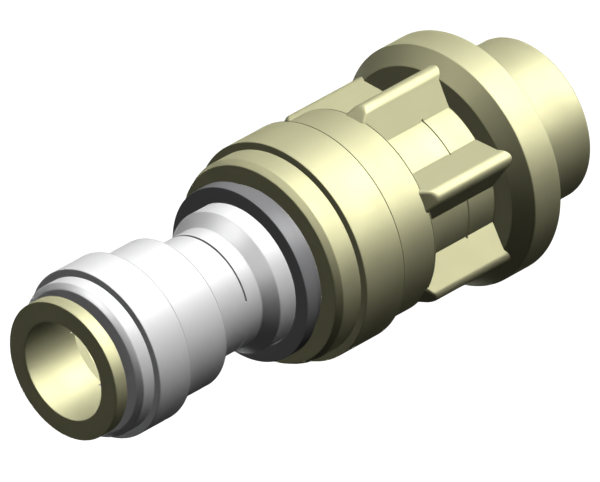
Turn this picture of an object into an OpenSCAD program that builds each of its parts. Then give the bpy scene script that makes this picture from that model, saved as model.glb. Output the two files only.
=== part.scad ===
// Hose adapter for plastic water pipe, standing on its hose spigot.
// A ribbed and flanged coupling takes a hose below and a 22 mm stem above.
// The stem belongs to a reducer whose own socket takes a 15 mm tube.
// Both sockets grip by a slotted collet with steel teeth, held in by an end cap.
// +Z is the common axis, and z = 0 is the rim of the hose spigot.

/* [Hose spigot] */
// Outside diameter of the spigot that the hose goes over
spigot_d = 25.4; // [24:0.1:30]
// Length of the spigot below the flange
spigot_len = 12.95; // [8:0.5:40]
// Water way through the spigot
spigot_bore_d = 19.8; // [14:0.1:21]
// Rounding of the spigot's rim
spigot_round = 0.5; // [0.1:0.1:1]

/* [Flange] */
// Diameter of the flange
flange_d = 37.9; // [36:0.1:60]
// Height of the flange's straight rim
flange_rim_h = 5.4; // [2:0.1:10]
// Radial width of the bevel above the rim
flange_bevel_w = 2.58; // [0.5:0.1:3]
// Height of that bevel
flange_bevel_h = 2.25; // [0.5:0.05:4]

/* [Coupling body] */
// Wall between the stem socket and the valleys of the ribs
core_wall = 1.9; // [1.2:0.1:2.6]
// Length of the ribbed stretch above the flange
rib_zone_len = 15.3; // [10:0.05:30]
// Wall around the seal's pocket, at the narrow band
waist_wall = 2.25; // [1.4:0.1:3]
// Length of the narrow band
waist_len = 7.4; // [5:0.1:12]
// Wall around the end cap, at the wide band
head_wall = 2.35; // [1.4:0.05:4]
// Length of the wide band
head_len = 8; // [7:0.05:14]

/* [Ribs] */
// Number of ribs around the coupling
rib_count = 6; // [3:1:8]
// Height of the ribs above their valleys
rib_h = 4.55; // [3.4:0.01:6]
// Rounding of the ribs' crests
rib_crest_r = 1.5; // [0.8:0.1:1.8]
// Lean of each flank, in degrees
rib_flank_lean = 28.5; // [20:0.5:32]
// Length of the bevel at the upper end of each rib
rib_end_bevel = 0.55; // [0.2:0.05:1.5]
// Height of the fine groove in the valleys, above the flange's face
valley_groove_z = 5.25; // [2:0.05:8]
// Width of that groove
valley_groove_w = 0.35; // [0.2:0.05:0.8]
// Depth of that groove
valley_groove_depth = 0.25; // [0.1:0.05:0.5]

/* [Reducer] */
// Outside diameter of the stem that plugs into the coupling
stem_d = 22; // [20:0.1:24]
// Wall of the stem
stem_wall = 2.2; // [1.6:0.1:3]
// Length of stem that shows above the grey collet
stem_show = 2.95; // [1:0.05:8]
// Height of the cone between stem and neck
cone_h = 1.9; // [1:0.05:4]
// Length of the neck
neck_len = 9.65; // [5:0.05:20]
// Wall of the neck, around the tube
neck_wall = 1.67; // [1.2:0.01:2.6]
// Length of the narrow band under the reducer's head
reducer_waist_len = 8.65; // [5:0.1:14]
// Wall of that band, around the seal's pocket
reducer_waist_wall = 1.8; // [1.2:0.1:3]
// Length of the reducer's head
reducer_head_len = 6.4; // [5.5:0.05:12]
// Wall of the head, around the end cap
reducer_head_wall = 2.02; // [1.2:0.01:4]
// Height of the broken ring line on the neck, above the cone
neck_line_z = 2.65; // [0.5:0.05:4]
// Width and depth of the ring line
neck_line_w = 0.3; // [0.2:0.05:0.8]
// Width, in degrees, of each of the two breaks in the ring line
neck_line_break = 35; // [10:1:90]
// Direction of the first break, in degrees from +X
neck_line_dir = -29.5; // [-180:0.5:180]
// Radial width of the lip that stops the tube
tube_stop_w = 0.95; // [0.5:0.05:1.5]
// Thickness of that lip
tube_stop_h = 2; // [1:0.1:4]

/* [Tube socket] */
// Outside diameter of the tube
tube_d = 15; // [14:0.1:16]
// Depth to which the tube goes in, from the collet's face
tube_depth = 33; // [27:0.5:36]
// Thickness of the collet's sleeve
tube_sleeve_wall = 1.12; // [0.9:0.01:1.5]
// Radial width of the collet's flange, from the bore
tube_flange_w = 3.12; // [2:0.01:4]
// Thickness of the collet's flange
tube_flange_h = 2.25; // [1.2:0.05:4]
// Gap between the collet's flange and the end cap
tube_collet_gap = 1.35; // [0.6:0.01:2]
// Height of the end cap above the reducer's head
tube_cap_h = 2.85; // [2:0.01:5]
// Length of the end cap inside the head
tube_cap_insert = 5; // [4.6:0.1:6]
// Overhang of the end cap's ring past its insert
tube_cap_ledge = 0.95; // [0.6:0.01:1.6]
// Thickness of the seal's cord
tube_seal_cord = 2.2; // [1.6:0.1:3]
// Number of fingers on the collet
tube_fingers = 4; // [4:1:8]
// Direction of the first slot between the fingers, in degrees from +X
tube_slot_dir = 12; // [0:1:90]

/* [Stem socket] */
// Depth to which the stem goes in, from the collet's face
stem_depth = 38; // [30:0.5:42]
// Thickness of the collet's sleeve
stem_sleeve_wall = 1.27; // [0.9:0.01:1.6]
// Radial width of the collet's flange, from the bore
stem_flange_w = 2.5; // [1.8:0.01:4]
// Thickness of the collet's flange
stem_flange_h = 2.15; // [1.2:0.05:4]
// Gap between the collet's flange and the end cap
stem_collet_gap = 1.65; // [0.6:0.01:2]
// Height of the end cap above the coupling
stem_cap_h = 4.75; // [3:0.05:8]
// Length of the end cap inside the coupling
stem_cap_insert = 5.7; // [5.2:0.1:7]
// Overhang of the end cap's ring past its insert
stem_cap_ledge = 1.25; // [0.6:0.01:1.8]
// Thickness of the seal's cord
stem_seal_cord = 2.6; // [1.8:0.1:3.4]
// Number of fingers on the collet
stem_fingers = 8; // [4:1:10]

/* [Sockets, both sizes] */
// Outward rise of the finger heads past the sleeve
head_rise = 1.05; // [0.7:0.05:1.3]
// Length of the cone on the finger heads
head_cone_len = 2.4; // [1.6:0.1:3]
// Straight length at the finger tips
head_tip_len = 1.1; // [1.1:0.1:1.6]
// Wall of the end caps around the finger heads
cap_wall = 0.95; // [0.7:0.05:1.4]
// Bevel at the end caps' front edge
cap_bevel = 0.7; // [0.2:0.05:1]
// Thickness of the spacer between seal and fingers
spacer_h = 1.2; // [0.8:0.1:2]
// Width of the slots between the fingers
slot_w = 1.2; // [0.8:0.1:2]
// Web that closes the slots at the bore
slot_web = 0.3; // [0.2:0.05:0.5]
// Width of the steel teeth
tooth_w = 2.8; // [1.5:0.1:3.4]
// Thickness of the steel teeth
tooth_t = 0.35; // [0.2:0.05:0.5]

/* [Fits] */
// Radial clearance of a tube or stem in its socket and collet
bore_clear = 0.08; // [0.04:0.01:0.1]
// Radial clearance of a collet in the throat of its end cap
throat_clear = 0.1; // [0.05:0.01:0.1]
// Radial clearance of an end cap and a spacer in the body
cap_clear = 0.05; // [0.02:0.01:0.1]
// Clearance between finger heads and what is around them
head_clear = 0.3; // [0.2:0.05:0.5]
// Room left under a seated stem and under a pressed collet
seat_clear = 0.3; // [0.1:0.05:0.5]
// Clearance around each steel tooth
tooth_clear = 0.04; // [0.02:0.01:0.08]

/* [Hidden] */
$fn = 96;

stem_r = stem_d / 2;
spigot_r = spigot_d / 2;
flange_r = flange_d / 2;

// Heights, from the hose end up: coupling, then the collet in it, then the reducer
flange_z = spigot_len;
bevel_z = flange_z + flange_rim_h;
rib_z = bevel_z + flange_bevel_h;
waist_z = rib_z + rib_zone_len;
head_z = waist_z + waist_len;
s_rim_z = head_z + head_len;
s_cap_z = s_rim_z + stem_cap_h;
s_back_z = s_cap_z + stem_collet_gap;
s_face_z = s_back_z + stem_flange_h;
s_stop_z = s_face_z - stem_depth;
cone_z = s_face_z + stem_show;
neck_z = cone_z + cone_h;
r_waist_z = neck_z + neck_len;
r_head_z = r_waist_z + reducer_waist_len;
t_rim_z = r_head_z + reducer_head_len;
t_cap_z = t_rim_z + tube_cap_h;
t_back_z = t_cap_z + tube_collet_gap;
t_face_z = t_back_z + tube_flange_h;
t_stop_z = t_face_z - tube_depth;

// How far each collet can be pressed in
press_room = 0.05;
s_travel = stem_collet_gap - press_room;
t_travel = tube_collet_gap - press_room;

// Radii inside the stem socket
s_bore_r = stem_r + bore_clear;
s_sleeve_r = s_bore_r + stem_sleeve_wall;
s_throat_r = s_sleeve_r + throat_clear;
s_wide_r = s_sleeve_r + head_rise + head_clear;
s_insert_r = s_wide_r + cap_wall;
s_cap_bore_r = s_insert_r + cap_clear;
s_ring_r = s_insert_r + stem_cap_ledge;
s_seal_r = s_bore_r + stem_seal_cord + cap_clear;
core_r = s_bore_r + core_wall;
waist_r = s_seal_r + waist_wall;
head_r = s_cap_bore_r + head_wall;
rib_tip_r = core_r + rib_h;

// Radii inside the tube socket
t_bore_r = tube_d / 2 + bore_clear;
t_sleeve_r = t_bore_r + tube_sleeve_wall;
t_throat_r = t_sleeve_r + throat_clear;
t_wide_r = t_sleeve_r + head_rise + head_clear;
t_insert_r = t_wide_r + cap_wall;
t_cap_bore_r = t_insert_r + cap_clear;
t_ring_r = t_insert_r + tube_cap_ledge;
t_seal_r = t_bore_r + tube_seal_cord + cap_clear;
neck_r = t_bore_r + neck_wall;
r_waist_r = t_seal_r + reducer_waist_wall;
r_head_r = t_cap_bore_r + reducer_head_wall;

// Heights inside the two sockets, down from the rim of each
pocket_room = 0.4;
s_insert_z = s_rim_z - stem_cap_insert;
s_spacer_z = s_insert_z - spacer_h;
s_pocket_z = s_spacer_z - stem_seal_cord - pocket_room;
t_insert_z = t_rim_z - tube_cap_insert;
t_spacer_z = t_insert_z - spacer_h;
t_pocket_z = t_spacer_z - tube_seal_cord - pocket_room;
s_tip_z = s_insert_z + s_travel + seat_clear;
t_tip_z = t_insert_z + t_travel + seat_clear;

cream = [0.94, 0.93, 0.74];
cream_shade = [0.88, 0.87, 0.68];
white = [0.96, 0.96, 0.97];
grey = [0.55, 0.56, 0.58];
steel = [0.78, 0.79, 0.8];
black = [0.12, 0.12, 0.13];

// Points of an arc in a profile, from angle a0 to a1
function arc_points(centre, r, a0, a1, steps = 5) = [
  for (i = [0 : steps])
    let (a = a0 + (a1 - a0) * i / steps)
    centre + r * [cos(a), sin(a)]
];

// One rib across the axis, its crest on +X: leaning flanks that touch the crest's circle.
// inset makes it narrower by that much on each flank.
module rib_section(inset = 0) {
  crest_x = rib_tip_r - rib_crest_r;
  touch_x = crest_x + rib_crest_r * sin(rib_flank_lean);
  touch_y = rib_crest_r * cos(rib_flank_lean);
  foot_x = core_r - 0.5 * core_wall;
  foot_y = touch_y + (touch_x - foot_x) * tan(rib_flank_lean);
  polygon([
    [foot_x, -foot_y + inset],
    [touch_x, -touch_y + inset],
    [touch_x, touch_y - inset],
    [foot_x, foot_y - inset]
  ]);
  if (inset == 0)
    translate([crest_x, 0])
      circle(r = rib_crest_r);
}

module ribs(inset = 0) {
  for (i = [0 : rib_count - 1])
    rotate([0, 0, 360 * i / rib_count])
      translate([0, 0, bevel_z])
        linear_extrude(height = waist_z - bevel_z)
          rib_section(inset);
}

// Space that the ribs may fill: the bevel at their upper ends is turned on
module rib_envelope() {
  rotate_extrude()
    polygon([
      [0, bevel_z - 1],
      [rib_tip_r + 1, bevel_z - 1],
      [rib_tip_r + 1, waist_z - rib_end_bevel - 0.3],
      [rib_tip_r, waist_z - rib_end_bevel - 0.3],
      [rib_tip_r - 0.3, waist_z - rib_end_bevel],
      [waist_r, waist_z],
      [0, waist_z]
    ]);
}

// Fine groove around each valley, which nicks the feet of the ribs
module valley_groove() {
  difference() {
    rotate_extrude()
      translate([core_r - valley_groove_depth, rib_z + valley_groove_z])
        square([2 * valley_groove_depth, valley_groove_w]);
    ribs(valley_groove_depth);
  }
}

module coupling_body() {
  color(cream) {
    difference() {
      union() {
        rotate_extrude()
          polygon(concat(
            [[0, 0]],
            arc_points([spigot_r - spigot_round, spigot_round], spigot_round, -90, 0),
            [
              [spigot_r, flange_z],
              [flange_r, flange_z],
              [flange_r, bevel_z],
              [flange_r - flange_bevel_w, rib_z],
              [core_r, rib_z],
              [core_r, waist_z],
              [waist_r, waist_z],
              [waist_r, head_z],
              [head_r, head_z],
              [head_r, s_rim_z],
              [0, s_rim_z]
            ]
          ));
        intersection() {
          ribs();
          rib_envelope();
        }
      }
      valley_groove();
      rotate_extrude()
        polygon([
          [0, -1],
          [spigot_bore_d / 2, -1],
          [spigot_bore_d / 2, s_stop_z],
          [s_bore_r, s_stop_z],
          [s_bore_r, s_pocket_z],
          [s_seal_r, s_pocket_z],
          [s_seal_r, s_spacer_z],
          [s_cap_bore_r, s_spacer_z],
          [s_cap_bore_r, s_rim_z + 1],
          [0, s_rim_z + 1]
        ]);
    }
  }
}

module reducer_body() {
  stem_end_z = s_stop_z + seat_clear;
  stem_bore_r = stem_r - stem_wall;
  color(white) {
    difference() {
      rotate_extrude()
        polygon([
          [stem_bore_r, stem_end_z],
          [stem_r - 0.6, stem_end_z],
          [stem_r, stem_end_z + 1.2],
          [stem_r, cone_z],
          [neck_r, neck_z],
          [neck_r, r_waist_z],
          [r_waist_r, r_waist_z],
          [r_waist_r, r_head_z],
          [r_head_r, r_head_z],
          [r_head_r, t_rim_z],
          [t_cap_bore_r, t_rim_z],
          [t_cap_bore_r, t_spacer_z],
          [t_seal_r, t_spacer_z],
          [t_seal_r, t_pocket_z],
          [t_bore_r, t_pocket_z],
          [t_bore_r, t_stop_z],
          [t_bore_r - tube_stop_w, t_stop_z],
          [t_bore_r - tube_stop_w, t_stop_z - tube_stop_h],
          [stem_bore_r, t_stop_z - tube_stop_h - 1.5]
        ]);
      neck_line();
    }
  }
}

// Ring line on the neck, broken twice where the mould parts
module neck_line() {
  for (side = [0, 180])
    rotate([0, 0, neck_line_dir + side + neck_line_break / 2])
      rotate_extrude(angle = 180 - neck_line_break)
        translate([neck_r - neck_line_w, neck_z + neck_line_z])
          square([2 * neck_line_w, neck_line_w]);
}

// End cap: a ring outside, and inside a throat that opens to a cone for the finger heads
module end_cap(throat_r, wide_r, insert_r, ring_r, insert_z, rim_z, face_z, tip_z) {
  cone_low = tip_z + head_tip_len + 2 * head_clear;
  cone_high = cone_low + head_cone_len;
  rotate_extrude()
    polygon([
      [wide_r, insert_z],
      [insert_r, insert_z],
      [insert_r, rim_z],
      [ring_r, rim_z],
      [ring_r, face_z - cap_bevel],
      [ring_r - cap_bevel, face_z],
      [throat_r, face_z],
      [throat_r, cone_high],
      [wide_r, cone_low]
    ]);
}

module coupling_end_cap() {
  color(cream)
    end_cap(s_throat_r, s_wide_r, s_insert_r, s_ring_r, s_insert_z, s_rim_z, s_cap_z, s_tip_z);
}

module reducer_end_cap() {
  color(white)
    end_cap(t_throat_r, t_wide_r, t_insert_r, t_ring_r, t_insert_z, t_rim_z, t_cap_z, t_tip_z);
}

// Section of one steel tooth: a thin plate that leans down towards the tube.
// grow widens it all round, for the slot that holds it.
module tooth_section(bore_r, tip_z, grow = 0) {
  inner_r = bore_r + tooth_clear;
  outer_r = bore_r + 0.75 * (head_rise + 1);
  low_z = tip_z + 0.35;
  slope = 0.5;
  from_r = inner_r - 4 * grow;
  to_r = outer_r + grow;
  from_z = low_z + slope * (from_r - inner_r);
  to_z = low_z + slope * (to_r - inner_r);
  polygon([
    [from_r, from_z - 1.5 * grow],
    [to_r, to_z - 1.5 * grow],
    [to_r, to_z + tooth_t + 1.5 * grow],
    [from_r, from_z + tooth_t + 1.5 * grow]
  ]);
}

module teeth(bore_r, tip_z, fingers, grow = 0) {
  width = 2 * asin(0.5 * tooth_w / bore_r) + 40 * grow;
  for (i = [0 : fingers - 1])
    rotate([0, 0, 360 * (i + 0.5) / fingers - width / 2])
      rotate_extrude(angle = width)
        tooth_section(bore_r, tip_z, grow);
}

// Collet: flange outside, sleeve through the end cap, and sprung fingers with cone heads.
// The slots between the fingers are open outside, and a thin web closes them at the bore.
module collet(bore_r, sleeve_r, flange_w, tip_z, back_z, face_z, fingers) {
  head_top = tip_z + head_tip_len + head_cone_len;
  difference() {
    rotate_extrude()
      polygon([
        [bore_r, tip_z],
        [sleeve_r + head_rise - 0.3, tip_z],
        [sleeve_r + head_rise, tip_z + 0.3],
        [sleeve_r + head_rise, tip_z + head_tip_len],
        [sleeve_r, head_top],
        [sleeve_r, back_z],
        [bore_r + flange_w, back_z],
        [bore_r + flange_w, face_z],
        [bore_r, face_z]
      ]);
    for (i = [0 : fingers - 1])
      rotate([0, 0, 360 * i / fingers])
        translate([bore_r + slot_web, -slot_w / 2, tip_z - 1])
          cube([head_rise + 4, slot_w, head_top + 1.8 - tip_z]);
    teeth(bore_r, tip_z, fingers, tooth_clear);
  }
}

module stem_collet() {
  color(grey)
    collet(s_bore_r, s_sleeve_r, stem_flange_w, s_tip_z, s_back_z, s_face_z, stem_fingers);
}

module tube_collet() {
  color(cream_shade)
    rotate([0, 0, tube_slot_dir])
      collet(t_bore_r, t_sleeve_r, tube_flange_w, t_tip_z, t_back_z, t_face_z, tube_fingers);
}

module stem_collet_teeth() {
  color(steel)
    teeth(s_bore_r, s_tip_z, stem_fingers);
}

module tube_collet_teeth() {
  color(steel)
    rotate([0, 0, tube_slot_dir])
      teeth(t_bore_r, t_tip_z, tube_fingers);
}

module seal(bore_r, cord, pocket_z) {
  rotate_extrude()
    translate([bore_r + cord / 2, pocket_z + pocket_room / 2 + cord / 2])
      circle(d = cord);
}

module stem_seal() {
  color(black)
    seal(s_bore_r, stem_seal_cord, s_pocket_z);
}

module tube_seal() {
  color(black)
    seal(t_bore_r, tube_seal_cord, t_pocket_z);
}

module spacer(bore_r, cap_r, low_z) {
  rotate_extrude()
    translate([bore_r + head_clear, low_z])
      square([cap_r - bore_r - head_clear, spacer_h]);
}

module stem_spacer() {
  color(white)
    spacer(s_bore_r, s_insert_r, s_spacer_z);
}

module tube_spacer() {
  color(white)
    spacer(t_bore_r, t_insert_r, t_spacer_z);
}

coupling_body();
coupling_end_cap();
stem_seal();
stem_spacer();
stem_collet();
stem_collet_teeth();
reducer_body();
reducer_end_cap();
tube_seal();
tube_spacer();
tube_collet();
tube_collet_teeth();
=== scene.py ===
"""Looks of the hose adapter: its six visible mouldings, their finishes, the view and the light."""
import math

import bmesh
import bpy
from mathutils import Matrix, Vector


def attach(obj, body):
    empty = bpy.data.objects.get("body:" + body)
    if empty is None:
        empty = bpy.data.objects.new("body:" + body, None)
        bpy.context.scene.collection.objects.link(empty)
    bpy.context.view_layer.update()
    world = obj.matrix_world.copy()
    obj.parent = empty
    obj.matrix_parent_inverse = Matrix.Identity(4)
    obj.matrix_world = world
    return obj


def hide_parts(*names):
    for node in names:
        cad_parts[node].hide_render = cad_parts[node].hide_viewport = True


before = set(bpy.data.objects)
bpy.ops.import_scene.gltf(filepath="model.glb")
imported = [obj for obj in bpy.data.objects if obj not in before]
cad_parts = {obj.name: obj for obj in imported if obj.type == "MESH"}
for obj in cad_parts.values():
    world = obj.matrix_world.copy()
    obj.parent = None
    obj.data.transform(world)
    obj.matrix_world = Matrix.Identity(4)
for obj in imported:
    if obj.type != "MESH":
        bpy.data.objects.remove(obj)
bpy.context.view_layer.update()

# View of the photograph, 600 x 482 pixels

IMAGE_SIZE = (600, 482)
LENS_MM = 1200
SENSOR_MM = 36
PIXELS_PER_MM = 7.04
# Where the centre of the tube collet's face lies in the photograph, in pixels from the top left
COLLET_FACE_PX = (62.85, 371.37)
# Direction of the adapter's axis in the picture, and its angle to the line of sight
AXIS_IMAGE_ANGLE = math.radians(-28.63)
AXIS_SIGHT_ANGLE = math.radians(52.5)
# Turn of the ribs about the axis, from the direction that faces the camera
RIB_TURN = math.radians(12.5)
# How far the camera sees, in metres: it stands far off
VIEW_DEPTH = 100

# Heights above the rim of the spigot, in millimetres

FLANGE_Z = 12.95
FLANGE_BEVEL_Z = 18.35
RIB_Z = 20.60
WAIST_Z = 35.90
HEAD_Z = 43.30
STEM_RIM_Z = 51.30
STEM_CAP_Z = 56.05
STEM_BACK_Z = 57.70
STEM_FACE_Z = 59.85
STEM_STOP_Z = 21.85
STEM_END_Z = 22.15
STEM_POCKET_Z = 41.40
STEM_SPACER_Z = 44.40
STEM_INSERT_Z = 45.60
STEM_TIP_Z = 47.50
CONE_Z = 62.80
NECK_Z = 64.70
REDUCER_WAIST_Z = 74.35
REDUCER_HEAD_Z = 83.00
TUBE_RIM_Z = 89.40
TUBE_CAP_Z = 92.25
TUBE_BACK_Z = 93.60
TUBE_FACE_Z = 95.85
TUBE_STOP_Z = 62.85
TUBE_POCKET_Z = 80.60
TUBE_SPACER_Z = 83.20
TUBE_INSERT_Z = 84.40
TUBE_TIP_Z = 86.00

# Radii, in millimetres

SPIGOT_R = 12.70
SPIGOT_BORE_R = 9.90
FLANGE_R = 18.95
FLANGE_FACE_R = 16.37
CORE_R = 12.98
WAIST_R = 15.98
HEAD_R = 17.05
RIB_TIP_R = 17.53
STEM_R = 11.00
STEM_WATER_R = 8.80
STEM_BORE_R = 11.08
STEM_SLEEVE_R = 12.35
STEM_THROAT_R = 12.45
STEM_COLLET_R = 13.58
STEM_WIDE_R = 13.70
STEM_SEAL_R = 13.73
STEM_INSERT_R = 14.65
STEM_CAP_BORE_R = 14.70
STEM_RING_R = 15.90
TUBE_BORE_R = 7.58
TUBE_SLEEVE_R = 8.70
TUBE_THROAT_R = 8.80
NECK_R = 9.25
TUBE_SEAL_R = 9.83
TUBE_WIDE_R = 10.05
TUBE_COLLET_R = 10.70
TUBE_INSERT_R = 11.00
TUBE_CAP_BORE_R = 11.05
REDUCER_WAIST_R = 11.63
TUBE_RING_R = 11.95
REDUCER_HEAD_R = 13.07

# Smaller sizes, in millimetres and degrees

MM = 0.001
# How near counts as the same place
NEAR = 0.002
TURNED_SIDES = 192
# Rounding of a moulded edge that catches the light, and of one that is nearly sharp
SOFT_EDGE = 0.25
CRISP_EDGE = 0.12
SPIGOT_ROUNDING = 0.5
# Faces across each rounding
EDGE_STEPS = 4
CREST_STEPS = 8
RIB_END_STEPS = 3
# Faces that meet at less than this angle are shaded as one, and the larger of them lead
SMOOTH_ANGLE = math.radians(30)
LARGE_FACE_WEIGHT = 100
RIB_COUNT = 6
RIB_LEAN = math.radians(28.5)
RIB_CREST = 1.5
RIB_SINK = 0.95
# How far a rib reaches into the flange, and at first past the edge of the narrow band
RIB_INTO_FLANGE = 0.5
RIB_PAST_EDGE = 1.5
# Where the slanting end of a rib meets the height of its crest, below the band
RIB_END_BEFORE_BAND = 0.85
RIB_END_ROUNDING = 0.45
VALLEY_GROOVE_Z = 25.85
VALLEY_GROOVE_WIDTH = 0.35
VALLEY_GROOVE_DEPTH = 0.25
VALLEY_GROOVE_ANGLE = 31.9
VALLEY_GROOVE_STEPS = 24
NECK_LINE_Z = 67.35
NECK_LINE_WIDTH = 0.38
NECK_LINE_PARTS = 2
NECK_LINE_BREAK = 35
NECK_LINE_DIRECTION = -29.5
NECK_LINE_STEPS = 78
# Taper at the stem's inner end: how far in, and how long
STEM_END_TAPER = (0.6, 1.2)
TUBE_STOP_R = 6.63
TUBE_STOP_DEPTH = 2.0
WATER_CONE_LEN = 1.5
# Bevel on each end cap: how far in, and how far down
STEM_CAP_BEVEL = (0.5, 1.15)
TUBE_CAP_BEVEL = (0.85, 0.6)
# Fingers of the collets: how far their heads stand out, and the heads' parts
HEAD_RISE = 1.05
FINGER_TIP_CHAMFER = 0.3
FINGER_TIP_LEN = 1.1
FINGER_CONE_LEN = 2.4
FINGER_CLEAR = 0.6
SLOT_WIDTH = 1.2
SLOT_WEB = 0.3
SLOT_ABOVE_CONE = 0.8
SLOT_OVERRUN = 1
STEM_FINGERS = 8
TUBE_FINGERS = 4
STEM_SLOT_DIRECTION = 0
TUBE_SLOT_DIRECTION = 12
# Steel teeth, and the pockets that hold them with a little room
TOOTH_WIDTH = 2.8
TOOTH_THICKNESS = 0.35
TOOTH_REACH = 1.5375
TOOTH_RISE = 0.35
TOOTH_SLOPE = 0.5
TOOTH_ROOM = 0.04
POCKET_INTO_BORE = 0.12
POCKET_BELOW = 0.06
POCKET_MORE_HEIGHT = 0.12
POCKET_MORE_ANGLE = 1.6
POCKET_STEPS = 8
# Fine lines just above the lower edges of the bands
LINE_ABOVE_EDGE = 0.14
LINE_FLOOR_RISE = 0.03
BAND_LINE_DEPTH = 0.13
WHITE_LINE_DEPTH = 0.06


# Modelling, as at a bench: circles drawn out into rings, ribs cut from bars, edges broken

def deselect():
    """Leaves edit mode and selects nothing."""
    if bpy.context.object and bpy.context.object.mode == "EDIT":
        bpy.ops.object.mode_set(mode="OBJECT")
    bpy.ops.object.select_all(action="DESELECT")


def take(piece):
    """Makes a piece the only one that the next operators act on."""
    deselect()
    piece.select_set(True)
    bpy.context.view_layer.objects.active = piece


def name_it(name):
    """Names the piece that was just made."""
    piece = bpy.context.object
    piece.name = name
    piece.data.name = name
    return piece


def pick_edges(test):
    """In edit mode, selects the edges whose two ends both pass the test."""
    bpy.ops.mesh.select_mode(type="EDGE")
    bpy.ops.mesh.select_all(action="DESELECT")
    mesh = bmesh.from_edit_mesh(bpy.context.object.data)
    for edge in mesh.edges:
        edge.select_set(all(test(v.co) for v in edge.verts))
    bmesh.update_edit_mesh(bpy.context.object.data)


def pick_points(test):
    """In edit mode, selects the points that pass the test."""
    bpy.ops.mesh.select_mode(type="VERT")
    bpy.ops.mesh.select_all(action="DESELECT")
    mesh = bmesh.from_edit_mesh(bpy.context.object.data)
    for point in mesh.verts:
        point.select_set(test(point.co))
    mesh.select_flush_mode()
    bmesh.update_edit_mesh(bpy.context.object.data)


def close_up():
    """Merges what lies on top of each other and turns the faces outwards."""
    bpy.ops.mesh.select_all(action="SELECT")
    bpy.ops.mesh.remove_doubles(threshold=NEAR * MM)
    bpy.ops.mesh.normals_make_consistent(inside=False)
    bpy.ops.object.mode_set(mode="OBJECT")


def turned_ring(name, outline, edges=()):
    """Draws a circle out along a closed outline of (radius, height), then rounds the named edges.

    Each edge is (radius, height, rounding).
    """
    deselect()
    radius, height = outline[0]
    bpy.ops.mesh.primitive_circle_add(vertices=TURNED_SIDES, radius=radius * MM)
    piece = name_it(name)
    bpy.ops.object.mode_set(mode="EDIT")
    bpy.ops.mesh.select_all(action="SELECT")
    bpy.ops.transform.translate(value=(0, 0, height * MM))
    for next_radius, next_height in outline[1:] + outline[:1]:
        bpy.ops.mesh.extrude_region_move(
            TRANSFORM_OT_translate={"value": (0, 0, (next_height - height) * MM)})
        grow = next_radius / radius
        bpy.ops.transform.resize(value=(grow, grow, 1), center_override=(0, 0, next_height * MM))
        radius, height = next_radius, next_height
    close_up()
    bpy.ops.object.mode_set(mode="EDIT")
    for edge_radius, edge_height, rounding in edges:
        pick_edges(lambda co: abs(co.z - edge_height * MM) < NEAR * MM
                   and abs(math.hypot(co.x, co.y) - edge_radius * MM) < NEAR * MM)
        bpy.ops.mesh.bevel(offset=rounding * MM, offset_type="OFFSET", segments=EDGE_STEPS,
                           affect="EDGES")
    bpy.ops.object.mode_set(mode="OBJECT")
    return piece


def fine_line(radius, edge_z, depth):
    """Outline of a fine line cut all round a band, just above its lower edge."""
    return (
        (radius, edge_z + LINE_ABOVE_EDGE),
        (radius - depth, edge_z + LINE_ABOVE_EDGE + LINE_FLOOR_RISE),
        (radius, edge_z + LINE_ABOVE_EDGE + LINE_FLOOR_RISE + depth),
    )


def arc_bar(name, corners, start, angle, steps):
    """Spins a four-cornered section about the axis, from a direction and through an angle.

    Both are in degrees, and each corner is (radius, height).
    """
    deselect()
    bpy.ops.mesh.primitive_plane_add(size=1)
    piece = name_it(name)
    bpy.ops.object.mode_set(mode="EDIT")
    # The plane's corners, by the sides that they lie on, each moved to its place in the section
    sides = [(-1, -1), (1, -1), (1, 1), (-1, 1)]
    places = []
    for (side_x, side_y), (radius, height) in zip(sides, corners):
        places.append((Vector((side_x / 2, side_y / 2, 0)), Vector((radius * MM, 0, height * MM))))
    for was, place in places:
        pick_points(lambda co: (co - was).length < NEAR * MM)
        bpy.ops.transform.translate(value=place - was)
    bpy.ops.mesh.select_all(action="SELECT")
    bpy.ops.transform.rotate(value=-math.radians(start), orient_axis="Z", center_override=(0, 0, 0))
    bpy.ops.mesh.spin(steps=steps, angle=-math.radians(angle), center=(0, 0, 0), axis=(0, 0, 1))
    close_up()
    return piece


def block(name, low_corner, high_corner):
    """A block between two opposite corners, left in edit mode."""
    deselect()
    bpy.ops.mesh.primitive_cube_add(size=1)
    piece = name_it(name)
    bpy.ops.object.mode_set(mode="EDIT")
    bpy.ops.mesh.select_all(action="SELECT")
    corners = list(zip(low_corner, high_corner))
    bpy.ops.transform.resize(value=[(high - low) * MM for low, high in corners])
    bpy.ops.transform.translate(value=[(high + low) / 2 * MM for low, high in corners])
    return piece


def copy_round(piece, count, first=0.0):
    """Copies a piece about the axis, and makes the copies one piece with it. Angles in degrees."""
    copies = [piece]
    for i in range(1, count):
        other = piece.copy()
        other.data = piece.data.copy()
        bpy.context.scene.collection.objects.link(other)
        other.rotation_euler = (0, 0, math.radians(360 * i / count))
        copies.append(other)
    deselect()
    for other in copies:
        other.select_set(True)
    bpy.context.view_layer.objects.active = piece
    bpy.ops.object.join()
    piece.rotation_euler = (0, 0, math.radians(first))
    bpy.ops.object.transform_apply(location=True, rotation=True, scale=True)
    return piece


def cut_or_add(piece, tool, operation):
    """Cuts a tool's shape out of a piece, or adds it."""
    take(piece)
    step = piece.modifiers.new(operation.lower(), "BOOLEAN")
    step.operation = operation
    step.solver = "EXACT"
    step.object = tool
    bpy.ops.object.modifier_apply(modifier=step.name)
    bpy.data.objects.remove(tool, do_unlink=True)


def finish_surface(piece):
    """Shades a piece smooth up to its real edges, and keeps its flat faces flat."""
    take(piece)
    bpy.ops.object.mode_set(mode="EDIT")
    close_up()
    bpy.ops.object.shade_smooth_by_angle(angle=SMOOTH_ANGLE)
    step = piece.modifiers.new("flat_faces", "WEIGHTED_NORMAL")
    step.keep_sharp = True
    step.weight = LARGE_FACE_WEIGHT
    bpy.ops.object.modifier_apply(modifier=step.name)


# Coupling

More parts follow.
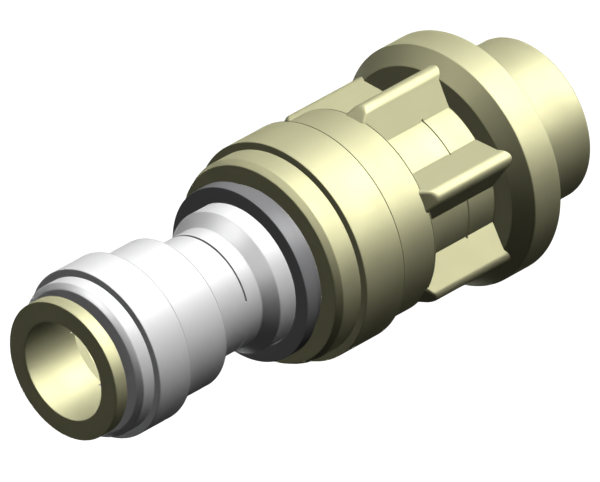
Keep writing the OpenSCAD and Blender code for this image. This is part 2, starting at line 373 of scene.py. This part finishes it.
def rib_bar():
    """One rib, its crest on +X: a bar with leaning flanks, a full round crest and a bevelled end."""
    touch_y = RIB_CREST * math.cos(RIB_LEAN)
    touch_x = RIB_TIP_R - RIB_CREST * (1 - math.sin(RIB_LEAN))
    foot_x = CORE_R - RIB_SINK
    foot_y = touch_y + (touch_x - foot_x) * math.tan(RIB_LEAN)
    top_y = touch_y - (RIB_TIP_R - touch_x) * math.tan(RIB_LEAN)
    low_z, high_z = FLANGE_BEVEL_Z - RIB_INTO_FLANGE, WAIST_Z + RIB_PAST_EDGE
    bar = block("rib", (foot_x, -foot_y, low_z), (RIB_TIP_R, foot_y, high_z))
    # The crest's side is made narrower, and its two long edges are then rounded until they meet
    middle = Vector(((RIB_TIP_R + foot_x) / 2 * MM, 0, (high_z + low_z) / 2 * MM))
    pick_points(lambda co: co.x > middle.x)
    bpy.ops.transform.resize(value=(1, top_y / foot_y, 1), center_override=middle)
    pick_edges(lambda co: co.x > middle.x)
    mesh = bmesh.from_edit_mesh(bar.data)
    for edge in mesh.edges:
        edge.select_set(edge.select and abs(edge.verts[0].co.z - edge.verts[1].co.z) > MM)
    bmesh.update_edit_mesh(bar.data)
    bpy.ops.mesh.bevel(offset=top_y * MM, offset_type="OFFSET", segments=CREST_STEPS, affect="EDGES",
                       clamp_overlap=True)
    bpy.ops.mesh.select_all(action="SELECT")
    bpy.ops.mesh.remove_doubles(threshold=NEAR * MM)
    # Slanting end that runs on to the narrow band, with a rounded edge
    end_z = WAIST_Z - RIB_END_BEFORE_BAND
    bpy.ops.mesh.select_all(action="SELECT")
    bpy.ops.mesh.bisect(plane_co=Vector((RIB_TIP_R, 0, end_z)) * MM,
                        plane_no=Vector((1, 0, 1)).normalized(),
                        use_fill=True, clear_outer=True)
    pick_edges(lambda co: abs(co.x + co.z - (RIB_TIP_R + end_z) * MM) < NEAR * MM)
    bpy.ops.mesh.bevel(offset=RIB_END_ROUNDING * MM, offset_type="OFFSET", segments=RIB_END_STEPS,
                       affect="EDGES", clamp_overlap=False)
    close_up()
    return bar


def model_coupling():
    """Coupling: spigot, flange, core with six ribs, two bands, and the socket for the stem."""
    body = turned_ring("coupling_moulding", [
        (SPIGOT_BORE_R, 0),
        (SPIGOT_R, 0),
        (SPIGOT_R, FLANGE_Z),
        (FLANGE_R, FLANGE_Z),
        (FLANGE_R, FLANGE_BEVEL_Z),
        (FLANGE_FACE_R, RIB_Z),
        (CORE_R, RIB_Z),
        (CORE_R, WAIST_Z),
        (WAIST_R, WAIST_Z),
        *fine_line(WAIST_R, WAIST_Z, BAND_LINE_DEPTH),
        (WAIST_R, HEAD_Z),
        (HEAD_R, HEAD_Z),
        *fine_line(HEAD_R, HEAD_Z, BAND_LINE_DEPTH),
        (HEAD_R, STEM_RIM_Z),
        (STEM_CAP_BORE_R, STEM_RIM_Z),
        (STEM_CAP_BORE_R, STEM_SPACER_Z),
        (STEM_SEAL_R, STEM_SPACER_Z),
        (STEM_SEAL_R, STEM_POCKET_Z),
        (STEM_BORE_R, STEM_POCKET_Z),
        (STEM_BORE_R, STEM_STOP_Z),
        (SPIGOT_BORE_R, STEM_STOP_Z),
    ], [
        (SPIGOT_R, 0, SPIGOT_ROUNDING),
        (SPIGOT_BORE_R, 0, SOFT_EDGE),
        (SPIGOT_R, FLANGE_Z, SOFT_EDGE),
        (FLANGE_R, FLANGE_Z, SOFT_EDGE),
        (FLANGE_R, FLANGE_BEVEL_Z, CRISP_EDGE),
        (FLANGE_FACE_R, RIB_Z, CRISP_EDGE),
        (CORE_R, RIB_Z, CRISP_EDGE),
        (CORE_R, WAIST_Z, CRISP_EDGE),
        (WAIST_R, WAIST_Z, CRISP_EDGE),
        (WAIST_R, HEAD_Z, CRISP_EDGE),
        (HEAD_R, HEAD_Z, CRISP_EDGE),
        (HEAD_R, STEM_RIM_Z, CRISP_EDGE),
        (STEM_CAP_BORE_R, STEM_RIM_Z, CRISP_EDGE),
    ])
    ribs = copy_round(rib_bar(), RIB_COUNT)
    cut_or_add(body, ribs, "UNION")
    inner, outer = CORE_R - VALLEY_GROOVE_DEPTH, CORE_R + VALLEY_GROOVE_DEPTH
    low, high = VALLEY_GROOVE_Z, VALLEY_GROOVE_Z + VALLEY_GROOVE_WIDTH
    groove = arc_bar("valley_groove", [(inner, low), (outer, low), (outer, high), (inner, high)],
                     180 / RIB_COUNT - VALLEY_GROOVE_ANGLE / 2, VALLEY_GROOVE_ANGLE,
                     VALLEY_GROOVE_STEPS)
    cut_or_add(body, copy_round(groove, RIB_COUNT), "DIFFERENCE")
    finish_surface(body)
    return body


def model_end_cap(name, throat, wide, insert, ring, insert_z, rim_z, face_z, tip_z, bevel):
    """End cap: a ring outside, and inside a throat that opens to a cone for the finger heads."""
    bevel_in, bevel_down = bevel
    cone_low = tip_z + FINGER_TIP_LEN + FINGER_CLEAR
    cone_high = cone_low + FINGER_CONE_LEN
    cap = turned_ring(name, [
        (wide, insert_z),
        (insert, insert_z),
        (insert, rim_z),
        (ring, rim_z),
        (ring, face_z - bevel_down),
        (ring - bevel_in, face_z),
        (throat, face_z),
        (throat, cone_high),
        (wide, cone_low),
    ], [
        (ring, rim_z, CRISP_EDGE),
        (ring, face_z - bevel_down, CRISP_EDGE),
        (ring - bevel_in, face_z, CRISP_EDGE),
        (throat, face_z, CRISP_EDGE),
    ])
    finish_surface(cap)
    return cap


def model_collet(name, bore, sleeve, flange, tip_z, back_z, face_z, fingers, direction):
    """Collet: flange outside, sleeve through the end cap, and fingers with cone heads."""
    head_top = tip_z + FINGER_TIP_LEN + FINGER_CONE_LEN
    collet = turned_ring(name, [
        (bore, tip_z),
        (sleeve + HEAD_RISE - FINGER_TIP_CHAMFER, tip_z),
        (sleeve + HEAD_RISE, tip_z + FINGER_TIP_CHAMFER),
        (sleeve + HEAD_RISE, tip_z + FINGER_TIP_LEN),
        (sleeve, head_top),
        (sleeve, back_z),
        (flange, back_z),
        (flange, face_z),
        (bore, face_z),
    ], [
        (sleeve, back_z, CRISP_EDGE),
        (flange, back_z, CRISP_EDGE),
        (flange, face_z, CRISP_EDGE),
        (bore, face_z, CRISP_EDGE),
    ])
    # Slots between the fingers, closed at the bore by a thin web
    low, high = tip_z - SLOT_OVERRUN, head_top + SLOT_ABOVE_CONE
    near, far = bore + SLOT_WEB, sleeve + HEAD_RISE + SLOT_OVERRUN
    slot = block("finger_slot", (near, -SLOT_WIDTH / 2, low), (far, SLOT_WIDTH / 2, high))
    bpy.ops.object.mode_set(mode="OBJECT")
    cut_or_add(collet, copy_round(slot, fingers, direction), "DIFFERENCE")
    # Pockets of the steel teeth, between the slots
    inner, outer = bore - POCKET_INTO_BORE, bore + TOOTH_REACH + TOOTH_ROOM
    low = tip_z + TOOTH_RISE - POCKET_BELOW
    high = low + TOOTH_THICKNESS + POCKET_MORE_HEIGHT
    first_rise = TOOTH_SLOPE * (inner - bore - TOOTH_ROOM)
    last_rise = TOOTH_SLOPE * (outer - bore - TOOTH_ROOM)
    width = 2 * math.degrees(math.asin(0.5 * TOOTH_WIDTH / bore)) + POCKET_MORE_ANGLE
    pocket = arc_bar("tooth_pocket", [
        (inner, low + first_rise),
        (outer, low + last_rise),
        (outer, high + last_rise),
        (inner, high + first_rise),
    ], 180 / fingers - width / 2, width, POCKET_STEPS)
    cut_or_add(collet, copy_round(pocket, fingers, direction), "DIFFERENCE")
    finish_surface(collet)
    return collet


# Reducer

def model_reducer():
    """Reducer: stem, cone, neck with its broken ring line, two bands, and the socket for the tube."""
    taper_in, taper_len = STEM_END_TAPER
    body = turned_ring("reducer_moulding", [
        (STEM_WATER_R, STEM_END_Z),
        (STEM_R - taper_in, STEM_END_Z),
        (STEM_R, STEM_END_Z + taper_len),
        (STEM_R, CONE_Z),
        (NECK_R, NECK_Z),
        (NECK_R, REDUCER_WAIST_Z),
        (REDUCER_WAIST_R, REDUCER_WAIST_Z),
        *fine_line(REDUCER_WAIST_R, REDUCER_WAIST_Z, WHITE_LINE_DEPTH),
        (REDUCER_WAIST_R, REDUCER_HEAD_Z),
        (REDUCER_HEAD_R, REDUCER_HEAD_Z),
        *fine_line(REDUCER_HEAD_R, REDUCER_HEAD_Z, WHITE_LINE_DEPTH),
        (REDUCER_HEAD_R, TUBE_RIM_Z),
        (TUBE_CAP_BORE_R, TUBE_RIM_Z),
        (TUBE_CAP_BORE_R, TUBE_SPACER_Z),
        (TUBE_SEAL_R, TUBE_SPACER_Z),
        (TUBE_SEAL_R, TUBE_POCKET_Z),
        (TUBE_BORE_R, TUBE_POCKET_Z),
        (TUBE_BORE_R, TUBE_STOP_Z),
        (TUBE_STOP_R, TUBE_STOP_Z),
        (TUBE_STOP_R, TUBE_STOP_Z - TUBE_STOP_DEPTH),
        (STEM_WATER_R, TUBE_STOP_Z - TUBE_STOP_DEPTH - WATER_CONE_LEN),
    ], [
        (STEM_R, CONE_Z, CRISP_EDGE),
        (NECK_R, NECK_Z, CRISP_EDGE),
        (NECK_R, REDUCER_WAIST_Z, CRISP_EDGE),
        (REDUCER_WAIST_R, REDUCER_WAIST_Z, CRISP_EDGE),
        (REDUCER_WAIST_R, REDUCER_HEAD_Z, CRISP_EDGE),
        (REDUCER_HEAD_R, REDUCER_HEAD_Z, CRISP_EDGE),
        (REDUCER_HEAD_R, TUBE_RIM_Z, CRISP_EDGE),
        (TUBE_CAP_BORE_R, TUBE_RIM_Z, CRISP_EDGE),
    ])
    inner, outer = NECK_R - NECK_LINE_WIDTH, NECK_R + NECK_LINE_WIDTH
    low, high = NECK_LINE_Z, NECK_LINE_Z + NECK_LINE_WIDTH
    line = arc_bar("neck_line", [(inner, low), (outer, low), (outer, high), (inner, high)],
                   NECK_LINE_BREAK / 2, 360 / NECK_LINE_PARTS - NECK_LINE_BREAK, NECK_LINE_STEPS)
    cut_or_add(body, copy_round(line, NECK_LINE_PARTS, NECK_LINE_DIRECTION), "DIFFERENCE")
    finish_surface(body)
    return body


coupling = model_coupling()
coupling_cap = model_end_cap("coupling_cap_ring",
                             STEM_THROAT_R, STEM_WIDE_R, STEM_INSERT_R, STEM_RING_R,
                             STEM_INSERT_Z, STEM_RIM_Z, STEM_CAP_Z, STEM_TIP_Z, STEM_CAP_BEVEL)
stem_collet = model_collet("stem_grip_collet", STEM_BORE_R, STEM_SLEEVE_R, STEM_COLLET_R,
                           STEM_TIP_Z, STEM_BACK_Z, STEM_FACE_Z, STEM_FINGERS, STEM_SLOT_DIRECTION)
reducer = model_reducer()
reducer_cap = model_end_cap("reducer_cap_ring",
                            TUBE_THROAT_R, TUBE_WIDE_R, TUBE_INSERT_R, TUBE_RING_R,
                            TUBE_INSERT_Z, TUBE_RIM_Z, TUBE_CAP_Z, TUBE_TIP_Z, TUBE_CAP_BEVEL)
tube_collet = model_collet("tube_grip_collet", TUBE_BORE_R, TUBE_SLEEVE_R, TUBE_COLLET_R,
                           TUBE_TIP_Z, TUBE_BACK_Z, TUBE_FACE_Z, TUBE_FINGERS, TUBE_SLOT_DIRECTION)

# What each new piece stands for, the body that it moves with, and the record's slot for its finish

STANDS_FOR = (
    (coupling, "coupling_body", "coupling", "cream_plastic"),
    (coupling_cap, "coupling_end_cap", "coupling", "cream_plastic"),
    (stem_collet, "stem_collet", "stem_collet", "grey_plastic"),
    (reducer, "reducer_body", "reducer", "white_plastic"),
    (reducer_cap, "reducer_end_cap", "reducer", "white_plastic"),
    (tube_collet, "tube_collet", "tube_collet", "collet_plastic"),
)
for piece, node_name, body_name, slot_name in STANDS_FOR:
    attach(piece, body_name)
    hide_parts(node_name)


# Finishes

# Scale, detail and roughness of each noise
CLOUDS = (55, 3, 0.5)
UNEVEN_GLOSS = (160, 4, 0.6)
RIPPLE = (240, 2, 0.5)
GRAIN = (2600, 2, 0.5)
PAPER_FLECK = (60, 3, 0.5)
# Range that most of a noise lies in
NOISE_RANGE = (0.3, 0.7)
# Height of the slow ripple, in heights of the grain
RIPPLE_HEIGHT = 4
# Refractive index of the finishes, which sets how strongly they reflect
GLOSS_INDEX = 2.0


def new_material(name):
    """A material, its node tree, its shader, and the place on the piece that its noises follow."""
    material = bpy.data.materials.new(name)
    material.use_nodes = True
    tree = material.node_tree
    place = tree.nodes.new("ShaderNodeTexCoord").outputs["Object"]
    return material, tree, tree.nodes["Principled BSDF"], place


def noise(tree, place, scale, detail, roughness):
    """Noise over a place, between 0 and 1."""
    node = tree.nodes.new("ShaderNodeTexNoise")
    node.inputs["Scale"].default_value = scale
    node.inputs["Detail"].default_value = detail
    node.inputs["Roughness"].default_value = roughness
    tree.links.new(place, node.inputs["Vector"])
    return node.outputs["Fac"]


def spread(tree, value, low, high):
    """Brings a noise between two numbers."""
    node = tree.nodes.new("ShaderNodeMapRange")
    node.inputs["From Min"].default_value = NOISE_RANGE[0]
    node.inputs["From Max"].default_value = NOISE_RANGE[1]
    node.inputs["To Min"].default_value = low
    node.inputs["To Max"].default_value = high
    tree.links.new(value, node.inputs["Value"])
    return node.outputs["Result"]


def two_tones(tree, shader, part, tone, other_tone):
    """Colours a shader with a tone and a part, from 0 to 1, of another."""
    mix = tree.nodes.new("ShaderNodeMix")
    mix.data_type = "RGBA"
    mix.inputs["A"].default_value = (*tone, 1)
    mix.inputs["B"].default_value = (*other_tone, 1)
    tree.links.new(part, mix.inputs["Factor"])
    tree.links.new(mix.outputs["Result"], shader.inputs["Base Color"])


def bumps(tree, value, height):
    """Raises the surface where a noise is high, by a height in metres."""
    node = tree.nodes.new("ShaderNodeBump")
    node.inputs["Distance"].default_value = height
    tree.links.new(value, node.inputs["Height"])
    return node


def moulded_plastic(name, tone, deep_tone, gloss, grain, sheen_tone=(1, 1, 1)):
    """Moulded plastic: a tone that clouds a little, uneven gloss, and a fine grain with a slow ripple.

    gloss is the least and the most roughness, grain the height of the grain in metres, and
    sheen_tone the colour of the highlights.
    """
    material, tree, shader, place = new_material(name)
    shader.inputs["IOR"].default_value = GLOSS_INDEX
    shader.inputs["Specular Tint"].default_value = (*sheen_tone, 1)
    two_tones(tree, shader, spread(tree, noise(tree, place, *CLOUDS), 0, 1), tone, deep_tone)
    uneven = spread(tree, noise(tree, place, *UNEVEN_GLOSS), *gloss)
    tree.links.new(uneven, shader.inputs["Roughness"])
    ripple = bumps(tree, noise(tree, place, *RIPPLE), RIPPLE_HEIGHT * grain)
    fine = bumps(tree, noise(tree, place, *GRAIN), grain)
    tree.links.new(ripple.outputs["Normal"], fine.inputs["Normal"])
    tree.links.new(fine.outputs["Normal"], shader.inputs["Normal"])
    return material


CREAM = moulded_plastic("cream_plastic", tone=(0.56, 0.55, 0.335), deep_tone=(0.535, 0.525, 0.315),
                        gloss=(0.52, 0.6), grain=0.000002, sheen_tone=(1.0, 0.98, 0.66))
WHITE = moulded_plastic("white_plastic", tone=(0.85, 0.85, 0.85), deep_tone=(0.82, 0.82, 0.825),
                        gloss=(0.42, 0.5), grain=0.000002)
GREY = moulded_plastic("grey_plastic", tone=(0.235, 0.235, 0.24), deep_tone=(0.22, 0.22, 0.227),
                       gloss=(0.34, 0.42), grain=0.000002)
RUBBER = moulded_plastic("seal_rubber", tone=(0.025, 0.025, 0.026), deep_tone=(0.018, 0.018, 0.018),
                         gloss=(0.5, 0.65), grain=0.000004)
# The same finish, as metal
STEEL = moulded_plastic("tooth_steel", tone=(0.6, 0.6, 0.6), deep_tone=(0.52, 0.52, 0.52),
                        gloss=(0.25, 0.4), grain=0.000003)
STEEL.node_tree.nodes["Principled BSDF"].inputs["Metallic"].default_value = 1.0
for piece, material in ((coupling, CREAM), (coupling_cap, CREAM), (stem_collet, GREY),
                        (reducer, WHITE), (reducer_cap, WHITE), (tube_collet, CREAM)):
    piece.data.materials.clear()
    piece.data.materials.append(material)
for node_name, material in (("stem_spacer", WHITE), ("tube_spacer", CREAM),
                            ("stem_seal", RUBBER), ("tube_seal", RUBBER),
                            ("stem_collet_teeth", STEEL), ("tube_collet_teeth", STEEL)):
    for material_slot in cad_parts[node_name].material_slots:
        material_slot.material = material


# View

def photo_camera():
    """Puts a long lens where the photograph's was, so that the picture has little perspective."""
    # The axis, the side that faces the camera and their cross product, as the camera sees them:
    # x to the right, y down, z away
    sine, cosine = math.sin(AXIS_SIGHT_ANGLE), math.cos(AXIS_SIGHT_ANGLE)
    right, down = math.cos(AXIS_IMAGE_ANGLE), math.sin(AXIS_IMAGE_ANGLE)
    axis_seen = Vector((sine * right, sine * down, cosine))
    side_seen = Vector((cosine * right, cosine * down, -sine))
    seen = Matrix((axis_seen, side_seen, axis_seen.cross(side_seen))).transposed()
    # The same three directions in the adapter's frame
    axis = Vector((0, 0, -1))
    side = Vector((math.cos(RIB_TURN), math.sin(RIB_TURN), 0))
    real = Matrix((axis, side, axis.cross(side))).transposed()
    to_world = real @ seen.transposed()

    data = bpy.data.cameras.new("photo_camera")
    data.lens = LENS_MM
    data.sensor_width = SENSOR_MM
    data.clip_end = VIEW_DEPTH
    camera = bpy.data.objects.new("photo_camera", data)
    bpy.context.scene.collection.objects.link(camera)
    bpy.context.scene.camera = camera

    metres_per_pixel = MM / PIXELS_PER_MM
    distance = LENS_MM / SENSOR_MM * IMAGE_SIZE[0] * metres_per_pixel
    offset = Vector((
        (COLLET_FACE_PX[0] - IMAGE_SIZE[0] / 2) * metres_per_pixel,
        (COLLET_FACE_PX[1] - IMAGE_SIZE[1] / 2) * metres_per_pixel,
        distance,
    ))
    place = Vector((0, 0, TUBE_FACE_Z * MM)) - to_world @ offset
    flip = Matrix.Diagonal((1, -1, -1))
    camera.matrix_world = Matrix.Translation(place) @ (to_world @ flip).to_4x4()


photo_camera()


# Floor and light

# Floor: its size in metres, its height in millimetres, and its paper
FLOOR_SIZE = 4
FLOOR_Z = -0.05
PAPER_TONE = (0.9, 0.9, 0.9)
PAPER_FLECK_TONE = (0.92, 0.92, 0.92)
PAPER_ROUGHNESS = (0.9, 1.0)
# Strength of the light that the surround adds
AMBIENT = 0.02
# How wide each kind of light is, in degrees
SOFTNESS = {"body": 50, "highlight": 30, "back_body": 20, "back_highlight": 20, "floor": 40}
# Colour of the lights, and of those that the cream plastic reflects
PLAIN_TONE = (1, 1, 1)
WARM_TONE = (1, 0.985, 0.84)


def direction(azimuth, elevation):
    """Unit vector towards a compass direction and height, both in degrees."""
    a, e = math.radians(azimuth), math.radians(elevation)
    return Vector((math.cos(e) * math.cos(a), math.cos(e) * math.sin(a), math.sin(e)))


def sun(name, kind, azimuth, elevation, strength, receivers, tone):
    """A soft, even light from far off that lights the named receivers only.

    A body light brightens the plastic's own colour, and a highlight is only reflected.
    """
    data = bpy.data.lights.new(name, "SUN")
    data.energy = strength
    data.color = tone
    data.angle = math.radians(SOFTNESS[kind])
    data.use_shadow = False
    light = bpy.data.objects.new(name, data)
    light.rotation_euler = direction(azimuth, elevation).to_track_quat("Z", "Y").to_euler()
    light.visible_glossy = "highlight" in kind
    light.visible_diffuse = "highlight" not in kind
    bpy.context.scene.collection.objects.link(light)
    group = bpy.data.collections.new(name)
    for receiver in receivers:
        group.objects.link(receiver)
    light.light_linking.receiver_collection = group


def floor_paper():
    """Pale matt paper with a very slight fleck."""
    paper, tree, shader, place = new_material("floor_paper")
    shader.inputs["Specular IOR Level"].default_value = 0
    fleck = spread(tree, noise(tree, place, *PAPER_FLECK), 0, 1)
    two_tones(tree, shader, fleck, PAPER_TONE, PAPER_FLECK_TONE)
    tree.links.new(spread(tree, fleck, *PAPER_ROUGHNESS), shader.inputs["Roughness"])
    return paper


def made_of(*materials):
    """The adapter's pieces that have one of the materials."""
    return [piece for piece in adapter if piece.data.materials[0] in materials]


def white_surround():
    """A plain white backdrop that adds only a little light of its own, and that no piece mirrors."""
    world = bpy.data.worlds.new("studio")
    bpy.context.scene.world = world
    world.use_nodes = True
    world.cycles_visibility.glossy = False
    tree = world.node_tree
    paths = tree.nodes.new("ShaderNodeLightPath")
    level = tree.nodes.new("ShaderNodeMapRange")
    level.inputs["To Min"].default_value = AMBIENT
    level.inputs["To Max"].default_value = 1.0
    tree.links.new(paths.outputs["Is Camera Ray"], level.inputs["Value"])
    background = tree.nodes["Background"]
    background.inputs["Color"].default_value = (1, 1, 1, 1)
    tree.links.new(level.outputs["Result"], background.inputs["Strength"])


deselect()
bpy.ops.mesh.primitive_plane_add(size=FLOOR_SIZE, location=(0, 0, FLOOR_Z * MM))
floor = name_it("floor")
floor.data.materials.append(floor_paper())

adapter = [row[0] for row in STANDS_FOR] + list(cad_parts.values())
cream_pieces = made_of(CREAM)
white_pieces = made_of(WHITE)
inner_pieces = made_of(RUBBER, STEEL)
grey_pieces = made_of(GREY) + inner_pieces

# The pieces throw no light on each other, so each keeps the even tone of the photograph
for piece in adapter + [floor]:
    piece.visible_diffuse = False
    piece.visible_glossy = False

# Kind, compass direction and height in degrees, strength, and the pieces that the light falls on
LIGHTS = (
    # Cream plastic
    ("body", 57, -30, 2.6, cream_pieces),
    ("body", 112, 45, 0.2, cream_pieces),
    ("highlight", 52, -25, 5.4, cream_pieces),
    ("highlight", 22, -33, 4.1, cream_pieces),
    ("highlight", 100, 10, 0.6, cream_pieces),
    ("highlight", 7, -45, 2.6, cream_pieces),
    ("highlight", 92, 50, 1.85, cream_pieces),
    # White plastic
    ("body", 57, -10, 2.2, white_pieces),
    ("body", 37, -45, 1.85, white_pieces),
    ("body", 112, 45, 0.15, white_pieces),
    ("highlight", 92, 50, 4.8, white_pieces),
    ("highlight", 37, -45, 1.4, white_pieces),
    ("highlight", 2, 50, 1.3, white_pieces),
    ("highlight", 92, -25, 1.0, white_pieces),
    # Grey plastic, and the rubber and steel inside
    ("body", 50, -10, 4.1, grey_pieces),
    ("body", 12, 60, 0.32, grey_pieces),
    ("highlight", 22, -25, 0.35, grey_pieces),
    ("highlight", 37, -45, 0.5, grey_pieces),
    # Light that reaches the teeth and the ring seen through the tube collet
    ("highlight", 85, -37, 0.35, inner_pieces),
    ("body", 12, 90, 3.9, [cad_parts["tube_spacer"]]),
    # The side away from the camera
    ("back_body", 201, -12, 1.7, adapter),
    ("back_body", 183, -12, 1.4, adapter),
    ("back_highlight", 192, -10, 1.2, adapter),
    # Floor
    ("floor", 37, 70, 4.2, [floor]),
)
for number, (kind, azimuth, elevation, strength, receivers) in enumerate(LIGHTS, 1):
    tone = WARM_TONE if kind == "highlight" and receivers == cream_pieces else PLAIN_TONE
    sun(f"{kind}_{number}", kind, azimuth, elevation, strength, receivers, tone)
white_surround()
bpy.context.scene.view_settings.view_transform = "Standard"
